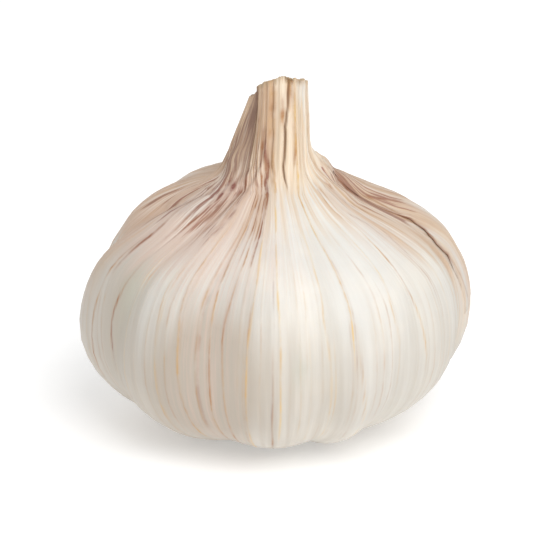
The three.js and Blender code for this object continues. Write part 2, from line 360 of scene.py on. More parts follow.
def clove_relief(azimuth, s):
    """How far the cloves push the skin out or let it sink."""
    relief = np.zeros_like(azimuth)
    for clove, following in zip(CLOVES, CLOVES[1:] + CLOVES[:1]):
        start, depth, turn, bulge = clove
        next_start, next_depth, next_turn, _ = following
        near = furrow_azimuth(start, turn, s)
        far = furrow_azimuth(next_start, next_turn, s)
        across = (azimuth - near) % 360 / ((far - near) % 360)
        dome = np.sin(math.pi * np.clip(across, 0, 1)) ** DOME_POWER
        dip = depth + (next_depth - depth) * ramp(across, 0, 1)
        relief = np.where(across < 1, dome * bulge - (1 - dome) * dip, relief)
    return relief * band(s, 0.8, 1.5, 2.6, 3.7) * (1 - 0.45 * ramp(s, 2, 2.8))


def pleat_relief(azimuth, s):
    """The pleats on the upper shoulder and the neck."""
    pleats = sum(height * wave(azimuth, count, phase) for height, count, phase in PLEATS)
    return pleats * ramp(s, 2.65, 3.5)


def wrap_edge(s):
    """The azimuth of the free edge of the neck's outermost layer."""
    return 8 + 3 * ramp(s, 3.5, 3) + 9 * ramp(s, 4, 5)


def wrap_relief(azimuth, s):
    """The outermost layer of the neck is wrapped round it, with its free edge up the front."""
    return WRAP_DEPTH * ramp(s, 3, 3.7) * ((azimuth - wrap_edge(s)) % 360 / 360 - 0.5)


def smooth_noise(fibre, knots, seed):
    """Random ups and downs round the bulb, from -1 to 1, with so many knots in the full turn."""
    values = np.random.default_rng(seed).uniform(-1, 1, knots)
    place = fibre % 360 / 360 * knots
    index = np.floor(place).astype(int)
    share = ramp(place - index, 0, 1)
    return values[index % knots] * (1 - share) + values[(index + 1) % knots] * share


def cut_height(azimuth):
    """The slanted, ragged cut across the neck."""
    slant = CUT_SLANT * wave(azimuth, 1, -CUT_SIDE)
    places = sum(height * patch(azimuth, middle, width) for height, middle, width in CUT_PLACES)
    nicks = 0.1 * smooth_noise(azimuth, 21, 81) + 0.05 * smooth_noise(azimuth, 90, 82)
    return NECK_HEIGHT + slant + places + nicks


def skin_points(azimuth, s, lift):
    """Points on the skin, or outside it by lift."""
    radius, height, out_radius, out_height = outline(s)
    raised = clove_relief(azimuth, s) + local_changes(SHOULDER_FORMS, azimuth, s)
    raised += pleat_relief(azimuth, s) + wrap_relief(azimuth, s) + lift
    reach = np.maximum(radius + out_radius * raised, 0)
    cut = (cut_height(azimuth) - NECK_HEIGHT) * np.maximum(s - NECK_AT, 0)
    across = reach * np.sin(np.radians(azimuth)) + NECK_LEAN * ramp(s, SHOULDER_AT - 0.6, NECK_AT)
    forward = -reach * np.cos(np.radians(azimuth))
    return np.stack([across, forward, height + out_height * raised + cut], -1)


def fibre_azimuth(fibre, s):
    """Where a fibre runs. It is named by its azimuth at the equator. On the shoulder the fibres
    crowd towards the front and the back and fan out on the left, and on the neck they swing
    round to both sides."""
    crowding = -13 * np.sin(np.radians(fibre)) * ramp(s, 2.3, 2.95) * ramp(s, 4.2, 2.9)
    fan = -16 * bell(fibre, -80, 20) * band(s, 2.6, 2.9, 2.95, 3.5)
    swing = 10 * bell(fibre, 25, 20) - 38 * band(fibre, -115, -35, -22, 28)
    right = 26 * bell(fibre, 105, 40) * ramp(s, 2.86, 3.06)
    return fibre + crowding + fan + swing * ramp(s, 2.75, 3.95) + right


def rib_relief(fibre, s):
    """The ribs and fibres of the skin: fine over the cloves and coarse on the neck."""
    wander = fibre + 0.5 * np.sin(3.1 * s + fibre / 9)
    body = ramp(s, 0.6, 1.4)
    neck = ramp(s, 2.75, 3.5)
    return sum(smooth_noise(wander, count, seed) * (on_body * body + on_neck * neck)
               for count, seed, on_body, on_neck in RIB_SIZES)


# The veins and streaks that stand out. Each: its path as (distance, fibre) points, its half width,
# how strongly it is coloured, its hue from yellow (0) through orange-brown (0.5) to purple-brown
# (1), and how far it stands up.
VEINS = [
    # Up the front, from right to left.
    (((2, 52), (2.35, 49), (2.57, 50), (2.8, 52), (3.1, 54)), 0.14, 0.55, 0.3, 0.04),
    (((2.33, 49.3), (2.6, 50.5)), 0.12, 0.6, 0.65, 0.02),
    (((2.1, 39.5), (2.28, 38.4), (2.5, 41), (2.8, 42)), 0.15, 0.4, 0.08, 0.05),
    (((2.3, 62), (2.5, 62), (2.72, 66)), 0.13, 0.45, 0.75, 0.03),
    (((1.3, 31), (1.8, 28.5), (2.1, 25.3)), 0.14, 0.4, 0.15, 0.03),
    (((1.84, 28), (1.99, 26.2)), 0.15, 0.6, 0.5, 0),
    (((2.05, 24), (2.5, 24), (3, 25), (3.4, 24.5), (3.9, 20.5), (4.9, 20.5)),
     0.13, 0.7, 0.12, 0.07),
    (((1.6, 17), (2, 16.8), (2.3, 15.4), (2.7, 16.5)), 0.14, 0.42, 0.1, 0.04),
    (((1.93, 16.8), (2.13, 16.3)), 0.2, 0.4, 0.25, 0),
    (((2.08, 9), (2.5, 10)), 0.14, 0.28, 0.35, 0.02),
    (((1.7, 1.2), (2.3, 1), (2.9, -0.6), (3.4, 0.7)), 0.15, 0.55, 0.08, 0.05),
    (((2.33, -0.8), (2.5, -0.8)), 0.14, 0.4, 0.95, 0),
    (((1.3, -1), (2.03, -1.2)), 0.16, 0.45, 0.9, 0),
    (((1.3, -8.5), (2.1, -8.8), (2.5, -7.1), (2.9, -9)), 0.15, 0.6, 0.15, 0.06),
    (((1.85, -8.9), (2.32, -8.4)), 0.17, 0.6, 0.42, 0),
    (((1.4, -15), (1.9, -15.2), (2.2, -16.4), (2.6, -14.5), (3, -15)), 0.16, 0.5, 0.5, 0.04),
    (((2.28, -16), (2.45, -15)), 0.3, 0.4, 0.95, 0),
    (((1.4, -20), (2.1, -20), (2.5, -21), (2.75, -22), (3, -20)), 0.16, 0.62, 0.52, 0.06),
    (((1.6, -24), (2.45, -23.3)), 0.3, 0.3, 0.9, 0),
    (((1.4, -28.5), (2, -29.8), (2.45, -31), (2.7, -32)), 0.16, 0.5, 0.35, 0.06),
    (((1.9, -29.6), (2.22, -30.2)), 0.17, 0.75, 0.42, 0.02),
    (((1.5, -38), (2.1, -37.6), (2.45, -38.8)), 0.14, 0.42, 0.25, 0.04),
    (((2.2, -49), (2.45, -51), (2.7, -47)), 0.15, 0.35, 0.4, 0.03),
    (((1.75, -53), (1.9, -58.5), (2.1, -60.3), (2.4, -57.5)), 0.16, 0.6, 0.8, 0.03),
    (((1.65, -74.5), (2, -70.7), (2.3, -67.5), (2.5, -68)), 0.17, 0.75, 0.55, 0.05),
    # On the right shoulder.
    (((2, 94), (2.15, 90.6), (2.32, 88)), 0.2, 0.65, 0.7, 0),
    (((2.83, 74.2), (2.93, 67)), 0.22, 0.85, 0.85, 0),
    (((2.76, 61.5), (2.86, 57)), 0.2, 0.85, 0.95, 0),
    (((2.93, 69.9), (3.2, 66.3)), 0.18, 0.5, 0.7, 0),
    (((2.95, 63), (3.02, 60.5)), 0.2, 0.7, 0.85, 0),
    (((2.76, 51.3), (2.83, 49.3), (2.92, 48.1), (3.15, 51.4)), 0.15, 0.6, 0.5, 0.03),
    (((2.6, 93), (2.7, 96.1), (2.83, 98.7), (2.88, 99.4), (2.98, 93.6)), 0.26, 0.85, 0.75, 0),
    (((2.68, 94.6), (2.79, 94.3), (2.9, 91.5), (3.05, 88)), 0.35, 0.85, 0.7, 0),
    (((2.64, 103.5), (2.72, 104), (2.8, 101.3), (2.92, 98.8)), 0.25, 0.8, 0.75, 0),
    (((2.5, 113), (2.9, 112)), 0.2, 0.5, 0.6, 0),
    (((2.76, 80), (3, 79)), 0.25, 0.55, 0.7, 0),
    # On the left shoulder.
    (((2.42, -66), (2.75, -67), (3, -69)), 0.3, 0.7, 0.75, 0),
    (((2.62, -57), (2.9, -54.6), (3.4, -53.5)), 0.16, 0.9, 0.95, 0),
    (((2.65, -59.5), (2.85, -59), (3.2, -58)), 0.2, 0.75, 0.9, 0),
    (((2.72, -38), (2.82, -35.5), (2.93, -37), (3.1, -40), (3.45, -39)), 0.18, 0.9, 0.95, 0),
    (((2.78, -36.5), (2.86, -35.2), (2.95, -36.8)), 0.4, 1.0, 0.8, 0),
    (((2.76, -40), (2.79, -38)), 0.4, 0.9, 0.75, 0),
    (((2.86, -43.5), (3, -43), (3.15, -42)), 0.22, 0.9, 0.85, 0),
    (((2.75, -52), (3, -50.5), (3.25, -49)), 0.25, 0.8, 0.9, 0),
    (((2.68, -45), (2.85, -45), (3.1, -44.5)), 0.2, 0.7, 0.85, 0),
    (((2.66, -92.5), (2.72, -92.5)), 0.5, 0.8, 0.7, 0),
    (((2.5, -79), (2.7, -80), (2.95, -83)), 0.35, 0.5, 0.6, 0),
    # On the neck.
    (((2.6, -11), (2.95, -10.2), (3.22, -9.2), (3.56, -6.3), (4.1, -8.5)), 0.17, 0.95, 0.8, 0),
    (((2.8, -9), (3.2, -7.6), (3.56, -4.8), (3.8, -6)), 0.2, 0.85, 0.95, 0),
    (((2.72, -12.5), (2.85, -12.3), (3.1, -10.6), (3.4, -9)), 0.15, 0.75, 0.8, 0),
    (((2.7, -17), (3, -15.5), (3.37, -12.1), (4.1, -11.7)), 0.14, 0.85, 0.8, 0.02),
    (((3, 0.3), (3.4, 1.5), (3.85, -0.6)), 0.14, 0.6, 0.5, 0.02),
    (((4, -2.8), (5.1, -3.4)), 0.14, 0.5, 0.4, 0.03),
    (((2.8, -20), (3.2, -19), (3.8, -20)), 0.2, 0.6, 0.85, 0.03),
    (((3.1, -24), (3.6, -26), (4.4, -28)), 0.16, 0.5, 0.7, 0.03),
    (((3.66, 19.8), (4.04, 21)), 0.15, 0.95, 0.6, 0),
    (((3.9, 19.5), (4.95, 20)), 0.16, 0.4, 0.5, 0.03),
    (((4.55, 14), (5.2, 15)), 0.2, 0.9, 0.5, 0),
    (((4.28, 7.2), (4.6, 7.9)), 0.12, 0.95, 0.62, 0),
    (((3.2, -0.5), (4.9, -0.5)), 0.2, 0.45, 0.5, 0.04),
]
FAINT_VEINS = 96
VEIN_SEED = 12
BACK_SEAM = -190

# Where one dry layer of the neck ends over the next. Each: its path, how high the upper layer
# stands over the lower one, and how dark the painted shade in the gap is. EDGE_GAP is the gap's
# half width, and EDGE_FADE how far the step reaches to each side.
LAYER_EDGES = [
    (((3.05, 14), (3.15, 12.5), (3.5, 10), (3.8, 10), (4.2, 11.5), (4.6, 13), (5, 15.5)),
     0.26, 0.85),
    (((3.3, 0), (5, -1)), 0.14, 0.25),
    (((3.2, -18), (5, -19)), 0.18, 0.3),
    (((3.1, -31), (5, -32)), 0.18, 0.3),
    (((3.2, 30), (5, 32)), 0.12, 0.2),
    (((3.1, 48), (5, 50)), 0.16, 0.2),
    (((3, 74), (5, 74)), 0.18, 0.3),
    (((3, 122), (5, 118)), 0.22, 0.35),
    (((3, 168), (5, 162)), 0.2, 0.3),
    (((2.9, -146), (5, -140)), 0.22, 0.35),
]
EDGE_GAP = 0.07
EDGE_FADE = 1.4

# Where the front edge of the collar lies, as (distance, fibre) points. The skin just under it is
# painted dark, as shade in the crack.
COLLAR_EDGE = (
    (2.1, 89.5), (2.3, 87), (2.42, 87.5), (2.53, 91), (2.63, 93.6), (2.72, 95.5), (2.85, 93),
    (3.0, 87), (3.6, 80),
)


def path_fibre(path, s):
    """The fibre that a path is on at each distance."""
    return np.interp(s, [point[0] for point in path], [point[1] for point in path])


def all_veins(s):
    """The veins that stand out and the faint ones between: each one's fibre at s, ends and look."""
    veins = [(path_fibre(path, s), path[0][0], path[-1][0], *finish) for path, *finish in VEINS]
    chance = random.Random(VEIN_SEED)
    for index in range(FAINT_VEINS):
        fibre = BACK_SEAM + 360 * (index + chance.uniform(0.1, 0.9)) / FAINT_VEINS
        start = chance.uniform(0.9, 2.0)
        end = start + chance.uniform(0.5, 1.6)
        strength = chance.uniform(0.08, 0.45) ** 1.2
        veins.append((fibre, start, end, chance.uniform(0.1, 0.2), strength,
                      chance.uniform(0.05, 0.6), chance.uniform(0.01, 0.04)))
    return veins


def vein_masks(fibre, s):
    """How strongly the veins colour each point, in what hue, and how far they stand up."""
    radius = np.maximum(outline(s)[0], 1)
    wander = fibre + 0.25 * np.sin(5.3 * s + fibre / 7) + 0.1 * np.sin(19 * s + fibre)
    amount = np.zeros_like(fibre)
    hue = np.zeros_like(fibre)
    height = np.zeros_like(fibre)
    weight = np.full_like(fibre, 1e-4)
    for index, (line, start, end, width, strength, red, rise) in enumerate(all_veins(s)):
        away = np.radians(turn_between(wander, line)) * radius
        reach = band(s, start - 0.15, start + 0.15, end - 0.2, end + 0.2)
        broken = 0.68 + 0.32 * np.sin(7 * s + index) * np.sin(19 * s + 2.6 * index)
        here = bell(away, 0, width) * reach
        amount = np.maximum(amount, np.minimum(1.5 * here * strength * broken, 0.95))
        hue += here * strength * (red + 0.12 * np.sin(11 * s + index))
        weight += here * strength
        height = np.maximum(height, here * rise)
    return amount, np.clip(hue / weight, 0, 1), height


def layer_relief(fibre, s):
    """The layers' edges: how far each point is raised by them, and how deep it lies in a gap. The
    depth in the gap is also painted as shade.
    """
    radius = np.maximum(outline(s)[0], 1)
    raised = np.zeros_like(fibre)
    gap = np.zeros_like(fibre)
    for path, height, dark in LAYER_EDGES:
        uneven = 0.04 * np.sin(9 * s + path[0][1]) + 0.02 * np.sin(23 * s)
        away = np.radians(turn_between(fibre, path_fibre(path, s))) * radius + uneven
        start, end = path[0][0], path[-1][0]
        reach = band(s, start, start + 0.35, end - 0.1, end + 0.15)
        raised += 0.5 * reach * height * np.sign(away) * np.exp(-np.abs(away) / EDGE_FADE)
        gap = np.maximum(gap, reach * dark * bell(away, -EDGE_GAP, EDGE_GAP))
    return raised - 0.35 * gap, gap


# The mesh has rows between distances along the outline and columns between fibres, closest at the
# front. Each entry: from, to and how many. The rings of the cut come after the rows: each has a
# radius and a depth below the cut, deep where the rolled layers have shrunk apart.
HEAD_ROWS = ((0, 1, 3), (1, 2, 13), (2, 2.6, 10), (2.6, 3.6, 26), (3.6, CUT_AT, 12))
HEAD_COLUMNS = ((BACK_SEAM, -100, 200), (-100, 100, 900), (100, BACK_SEAM + 360, 156))
CUT_RINGS = (
    (3.6, -0.05), (3.45, -0.1), (3.1, -0.06), (2.98, 0.1), (2.85, 3.2), (2.42, 3.2), (2.26, 0.8),
    (2.1, 0.7), (1.8, 0.76), (1.66, 2.8), (1.2, 2.8), (1.0, 1.4), (0.7, 1.1), (0, 1.1),
)
DEEP_RING = 1.2
CRUMPLE = 0.16


def spaced(stretches):
    """Places that divide each stretch evenly. A stretch is (start, end, number of steps)."""
    places = [stretches[0][0]]
    for start, end, steps in stretches:
        places += [start + (end - start) * (step + 1) / steps for step in range(steps)]
    return np.array(places)


def roll_up(shape, points, fibre, s, masks):
    """Lays a flat grid on points[row, column], with its UV map along the fibres and its masks."""
    rows, columns = points.shape[0] - 1, points.shape[1] - 1
    uv = shape.loops.layers.uv.verify()
    bmesh.ops.create_grid(shape, x_segments=columns, y_segments=rows, size=0.5, calc_uvs=True)
    for face in shape.faces:
        for loop in face.loops:
            row = round(loop[uv].uv.y * rows)
            column = round(loop[uv].uv.x * columns)
            loop[uv].uv = ((fibre[row, column] - BACK_SEAM) / 360, s[row, column] / CUT_AT)
    layers = {name: shape.verts.layers.float.new(name) for name in masks}
    for vert in shape.verts:
        column = round((vert.co.x + 0.5) * columns)
        row = round((vert.co.y + 0.5) * rows)
        vert.co = points[row, column]
        for name, layer in layers.items():
            vert[layer] = masks[name][row, column]


def crumple(points):
    """Pushes points in and out a little, as dry skin does, over the cloves but not at the cut."""
    for corner in points.reshape(-1, 3):
        place = Vector(corner)
        size = CRUMPLE * band(place.z, 2, 12, 38, 50)
        push = noise.noise(place * 0.15) + 0.4 * noise.noise(place * Vector((0.6, 0.6, 0.25)))
        corner += size * push * corner / max(place.length, 1)


def skin_lift(fibre, s):
    """How far the ribs, the veins and the layers' edges raise the skin, less what it is drawn in on
    the right of the neck."""
    drawn_in = (0.15 * ramp(s, 3.1, 3.5) + 0.5 * bell(s, 3.55, 0.4)) * patch(fibre, 75, 40)
    return rib_relief(fibre, s) + vein_masks(fibre, s)[2] + layer_relief(fibre, s)[0] - drawn_in


# Where the skin is streaked, less straw-coloured, tan or pink, as local changes by fibre, and where
# it has a pale brown or olive grey tint that also carries painted shade. The side shade alone is by
# azimuth, since it is painted shade that follows the bulb's sides.
STAINS = [
    (1.0, -68, 34, (2.45, 2.8, 3.4, 4.6)),
    (0.55, -20, 14, (2.65, 3.0, *TO_CUT)),
    (0.45, -108, 13, (2.75, 0.2)),
    (1.0, 92, 30, (2.4, 2.75, 3.1, 3.6)),
    (0.6, -165, 40, (2.4, 2.9, *TO_CUT)),
]
STRAW_FADES = [
    (0.25, 68, 34, WHOLE),
    (0.45, 50, 26, (4.3, 4.9, *TO_CUT)),
]
TAN_PLACES = [
    (0.4, -112, 12, (2.32, 0.2)),
    (0.3, -82, 9, (2.35, 0.2)),
    (0.45, -53, 9, (3.02, 0.2)),
    (0.75, -37, 16, (2.62, 2.84, 3.2, 3.5)),
    (0.6, -17, 6, (3.0, 0.2)),
    (0.2, -2, 6, (3.4, 3.9, *TO_CUT)),
    (0.25, 52, 12, (2.6, 2.9, 3.1, 3.4)),
    (0.6, 84, 7, (2.33, 0.18)),
]
BLUSHES = [
    (0.45, -115, 34, (2.3, 2.65, 3.1, 3.6)),
    (1.0, -50, 42, (2.3, 2.65, 3.1, 3.6)),
    (0.3, -22, 10, (1.2, 1.7, 2.3, 2.7)),
    (0.3, 62, 14, (2.4, 2.7, 2.9, 3.2)),
]
# A pale brown tint, with painted shade where it darkens the far left, the furrows and the low front.
BEIGE_AND_SHADE_PLACES = [
    (0.5, -112, 12, (2.32, 0.2)),
    (0.6, -102, 14, (2.65, 0.3)),
    (0.3, -84, 9, (2.35, 0.2)),
    (0.55, -57, 7, (2.3, 0.3)),
    (0.55, -21, 14, (1.5, 1.85, 2.1, 2.55)),
    (0.15, 18, 6, (1.95, 0.3)),
]
# Painted shade on the bulb's sides, back and low front, by azimuth.
PAINTED_SIDE_SHADE = [
    (0.41, -70, 30, WHOLE),
    (0.22, -28, 17, (1.0, 1.4, 1.9, 2.3)),
    (0.2, -16, 14, (2.25, 0.4)),
    (0.33, -10, 38, (2.05, 0.4)),
    (0.17, 65, 34, (2.05, 0.35)),
    (0.15, 100, 30, WHOLE),
    (0.3, 170, 50, WHOLE),
]
# An olive grey tint: painted shade in the furrow on the left, and small blotches of real tint.
GREEN_AND_SHADE_PLACES = [
    (1.0, -55, 4, (2.33, 0.22)),
    (0.8, 7.8, 2.6, (2.05, 0.06)),
    (0.35, 85, 7, (2.37, 0.12)),
]


def right_rim(fibre, s):
    """The strip at the far right of the shoulder, which is warmer than the rest."""
    return band(fibre, 78, 94, 125, 150) * band(s, 1.8, 2.1, 3.2, 3.7)


def tan_skin(fibre, s):
    """Tan skin: on the right of the shoulder, on its left and back with an uneven lower edge, and
    up the left of the neck."""
    right = np.maximum(0.6 * ramp(fibre, 57, 72) * band(s, 2.28, 2.6, 3.2, 3.7),
                       0.3 * ramp(fibre, 87, 92) * band(s, 1.95, 2.25, 3.2, 3.7))
    right += 0.35 * right_rim(fibre, s) * ramp(fibre, 98, 107) * ramp(s, 2.5, 2.75)
    behind = ramp(fibre, -115, -150)
    uneven = 0.16 * smooth_noise(fibre, 31, 91) + 0.1 * smooth_noise(fibre, 90, 92)
    above = (s - 2.25 - behind * (0.12 + uneven)) / (0.35 + 0.45 * behind)
    left = ramp(fibre, -68, -84) * np.clip(above, 0, 1) * ramp(s, 3.7, 3.2)
    neck = 0.9 * band(fibre, -175, -140, -6, 2) * ramp(s, 3.0, 3.8)
    return right + left + neck + local_changes(TAN_PLACES, fibre, s)


def collar_crack_shade(fibre, s):
    """Painted shade in the crack just under the collar's front edge, which is broken here and there.
    """
    crack = bell(fibre - path_fibre(COLLAR_EDGE, s), 0, 0.8) * band(s, 2.12, 2.3, 2.7, 2.9)
    return crack * (0.48 + 0.32 * np.sin(37 * s) * np.sin(83 * s))


def skin_masks(azimuth, fibre, s):
    """How much of each colour the skin has at each point, where its veins run, and where shade is
    painted: in the gaps and the collar's crack, in the furrows, low down and on the sides.
    """
    vein, vein_hue, _ = vein_masks(fibre, s)
    straw = ramp(s, 2.6, 3.4) * (1 - local_changes(STRAW_FADES, fibre, s))
    blush = local_changes(BLUSHES, fibre, s) + 0.3 * right_rim(fibre, s)
    # A faint pale brown tint everywhere, and painted shade that grows darker towards the bottom.
    beige_and_shade = 0.07 + 0.3 * ramp(s, 2.35, 1.9) + local_changes(BEIGE_AND_SHADE_PLACES, fibre, s)
    beige_and_shade += local_changes(PAINTED_SIDE_SHADE, azimuth, s)
    masks = {
        "vein": vein,
        "vein_hue": vein_hue,
        # Painted shade in the gaps between the neck's layers and in the collar's crack.
        "gap": np.maximum(layer_relief(fibre, s)[1], collar_crack_shade(fibre, s)),
        "stain": local_changes(STAINS, fibre, s),
        "straw": np.maximum(straw, 0.6 * right_rim(fibre, s)),
        "tan": tan_skin(fibre, s),
        "blush": blush,
        # A pale brown tint in places, with painted shade low down and on the sides.
        "beige_and_shade": beige_and_shade,
        # An olive grey tint: painted shade in the furrow on the left, and a small blotch.
        "green_and_shade": local_changes(GREEN_AND_SHADE_PLACES, fibre, s),
        # Painted shade in the furrows between the cloves.
        "furrow": np.clip(-clove_relief(azimuth, s), 0, 1) * ramp(s, 3.4, 2.8),
    }
    return {name: np.clip(mask, 0, 1) for name, mask in masks.items()}


def head_shape():
    """The skin, as one sheet of fibres rolled up to a closed body."""
    s, fibre = np.meshgrid(spaced(HEAD_ROWS), spaced(HEAD_COLUMNS), indexing="ij")
    azimuth = fibre_azimuth(fibre, s)
    points = skin_points(azimuth, s, skin_lift(fibre, s))
    crumple(points)

    end = azimuth[-1]
    rim = points[-1]
    axis = np.array([NECK_LEAN, 0, 0])
    outwards = np.stack([np.sin(np.radians(end)), -np.cos(np.radians(end)), np.zeros_like(end)], -1)
    rings = []
    for index, (radius, depth) in enumerate(CUT_RINGS):
        wobble = 0.16 * np.sin(np.radians(3 * end) + index / 3)
        wobble += 0.07 * np.sin(np.radians(8 * end) + index / 2)
        nick = 0.14 * smooth_noise(end, 36, 60 + index // 3)
        nick += 0.06 * smooth_noise(end, 110, 70 + index)
        level = 1.0 if depth < DEEP_RING else 0.3
        reach = radius + wobble * min(1, radius / 2) + 0.6 * wrap_relief(end, CUT_AT)
        ring = axis + outwards * (reach * min(1, radius))[:, None]
        slanted = min(1, radius / NECK_RADIUS)
        ring[:, 2] = rim[:, 2] * slanted + NECK_HEIGHT * (1 - slanted) - depth
        ring[:, 2] += level * nick * min(1, radius)
        rings.append(ring)
    rings[-1][:] = (NECK_LEAN, 0, NECK_HEIGHT - CUT_RINGS[-1][1])
    points = np.concatenate([points, rings])

    def padded(values):
        return np.concatenate([values, np.repeat(values[-1:], len(CUT_RINGS), 0)])

    masks = {name: padded(values) for name, values in skin_masks(azimuth, fibre, s).items()}
    masks["cut"] = np.concatenate([0.6 * ramp(s, 4.93, 5), np.ones((len(CUT_RINGS), len(end)))])
    shape = bmesh.new()
    roll_up(shape, points, padded(fibre), padded(s), masks)
    bmesh.ops.remove_doubles(shape, verts=shape.verts, dist=WELD)
    bmesh.ops.recalc_face_normals(shape, faces=shape.faces)
    return shape


SKIN_WHITE = (0.80, 0.765, 0.70, 1)
SKIN_COOL = (0.71, 0.695, 0.655, 1)
# A pale brown tint, also used as painted shade low down and on the sides.
SKIN_BEIGE_AND_SHADE = (0.455, 0.40, 0.335, 1)
SKIN_BLUSH = (0.62, 0.455, 0.375, 1)
SKIN_STRAW = (0.78, 0.655, 0.51, 1)
STRAW_BROWN = (0.52, 0.375, 0.235, 1)
STRAW_PALE = (0.86, 0.79, 0.67, 1)
SKIN_TAN = (0.56, 0.385, 0.25, 1)
# Painted shade in the furrows between the cloves.
PAINTED_FURROW_SHADE = (0.50, 0.47, 0.40, 1)
# An olive grey tint, also used as painted shade in the furrow on the left.
SKIN_GREEN_AND_SHADE = (0.48, 0.485, 0.40, 1)
CUT_BROWN = (0.50, 0.36, 0.22, 1)
# Painted shade in the gaps between layers and in the collar's crack.
PAINTED_GAP_SHADE = (0.27, 0.145, 0.075, 1)
STREAK_BROWN = (0.26, 0.115, 0.07, 1)
STREAK_PURPLE = (0.29, 0.10, 0.075, 1)
# Pale streaks among the stains, partly painted highlights along the fibres.
STREAK_PALE_AND_HIGHLIGHT = (0.80, 0.71, 0.62, 1)
VEIN_HUES = (
    (0.0, (0.70, 0.48, 0.20, 1)),
    (0.5, (0.43, 0.22, 0.09, 1)),
    (1.0, (0.23, 0.09, 0.07, 1)),
)

# Patterns of fibres: how many lie across the UV map and along it, and a seed.
THREADS = (320, 9, 0)
RIBS = (95, 5, 3)
EDGE_RIBS = (150, 5, 6)
BROWN_BANDS = (80, 1.5, 13)
PALE_BANDS = (110, 1.5, 17)
PALE_AND_HIGHLIGHT_STREAKS = (130, 5, 31)
BROAD_DASHES = (100, 8, 8)
THIN_DASHES = (160, 12, 21)
HUE_DRIFT = (60, 4, 5)
VEIN_BREAKS = (45, 30, 41)


def fibre_group():
    """Fibres that run along the skin: a noise drawn out along the UV map's second direction."""
    group = bpy.data.node_groups.new("skin fibres", "ShaderNodeTree")
    group.interface.new_socket("Place", in_out="INPUT", socket_type="NodeSocketVector")
    for name in ("Across", "Along", "Seed"):
        group.interface.new_socket(name, in_out="INPUT", socket_type="NodeSocketFloat")
    group.interface.new_socket("Fibre", in_out="OUTPUT", socket_type="NodeSocketFloat")
    given = group.nodes.new("NodeGroupInput").outputs
    across_along = {"X": given["Across"], "Y": given["Along"]}
    scale = add_node(group, "ShaderNodeCombineXYZ", across_along).outputs[0]
    shift = add_node(group, "ShaderNodeCombineXYZ", {"Z": given["Seed"]}).outputs[0]
    drawn_out = {0: given["Place"], 1: scale, 2: shift}
    moved = add_node(group, "ShaderNodeVectorMath", drawn_out, operation="MULTIPLY_ADD").outputs[0]
    texture = {"Vector": moved, "Scale": 1, "Detail": 3, "Roughness": 0.6}
    threads = add_node(group, "ShaderNodeTexNoise", texture)
    add_node(group, "NodeGroupOutput", {"Fibre": threads.outputs["Fac"]})
    return group


FIBRES = fibre_group()


def fibres(tree, uv, pattern):
    """A value from 0 to 1 for a pattern of fibres on the UV map."""
    inputs = dict(zip(("Across", "Along", "Seed"), pattern), Place=uv)
    return add_node(tree, "ShaderNodeGroup", inputs, node_tree=FIBRES).outputs["Fibre"]


def painted(tree, name):
    """A mask that the mesh carries."""
    return add_node(tree, "ShaderNodeAttribute", attribute_name=name).outputs["Fac"]


def share(tree, mask, amount):
    """A share of a mask."""
    return calculate(tree, "MULTIPLY", mask, amount)


def ragged(tree, mask, ribs, depth):
    """A mask whose edge is drawn out along the ribs. Where the mask is 0 or 1 it stays so."""
    spread = calculate(tree, "MULTIPLY", mask, calculate(tree, "SUBTRACT", 1.0, mask))
    shift = calculate(tree, "MULTIPLY", stretch(tree, ribs, 0.3, 0.7, -depth, depth), spread)
    return calculate(tree, "ADD", mask, shift, clamp=True)


def vein_colour(tree, hue):
    """The colour of a vein by its hue."""
    colours = add_node(tree, "ShaderNodeValToRGB", {"Fac": hue})
    points = colours.color_ramp.elements
    points.new(VEIN_HUES[1][0])
    for point, (position, colour) in zip(points, VEIN_HUES):
        point.position, point.color = position, colour
    return colours.outputs["Color"]


def dashes(tree, uv, stain, pattern):
    """Broken streaks, thick where the stain is strong and none where it is nought."""
    low = calculate(tree, "MULTIPLY_ADD", stain, -0.26, 0.76)
    high = calculate(tree, "ADD", low, 0.09)
    streaks = stretch(tree, fibres(tree, uv, pattern), low, high)
    return share(tree, calculate(tree, "MULTIPLY", streaks, stretch(tree, stain, 0.02, 0.3)), 0.8)


